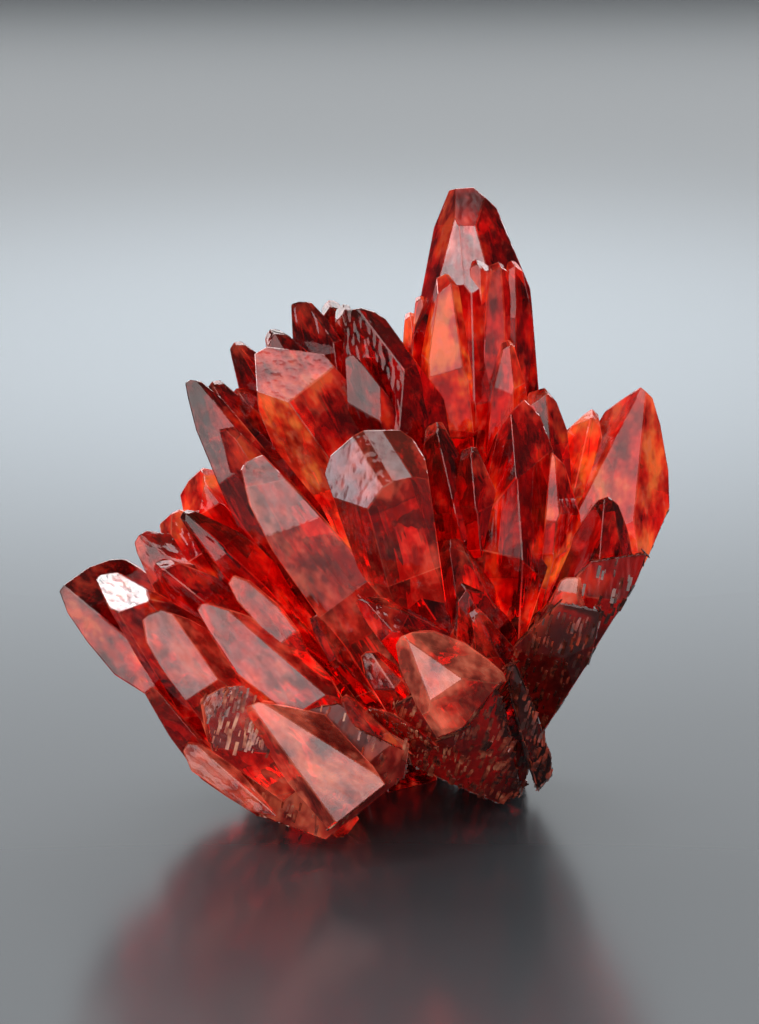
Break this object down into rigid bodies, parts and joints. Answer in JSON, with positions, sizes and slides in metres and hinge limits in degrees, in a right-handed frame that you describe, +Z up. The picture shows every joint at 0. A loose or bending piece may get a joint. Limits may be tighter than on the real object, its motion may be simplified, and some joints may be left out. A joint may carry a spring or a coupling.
{
  "type": "rhodochrosite crystal cluster",
  "caption": "Hand-sized cluster of clear deep red rhodochrosite crystals, steep pointed scalenohedra fanned out from one broken root that rests on its flattened underside.",
  "frame": {"origin": "centre of the bounding box's base, on the surface that the cluster stands on", "axes": "+Z up along the tallest crystal, -Y towards the viewer of the front view, +X to that viewer's right, where the broken contact side is"},
  "size_m": [0.0758, 0.052, 0.0777],
  "materials": {
    "rhodochrosite": "clear to milky deep red crystal with bright flat faces, rough and brownish where it broke off"
  },
  "bodies": {
    "root": {"rhodochrosite_cluster": "rhodochrosite"}
  },
  "joints": []
}
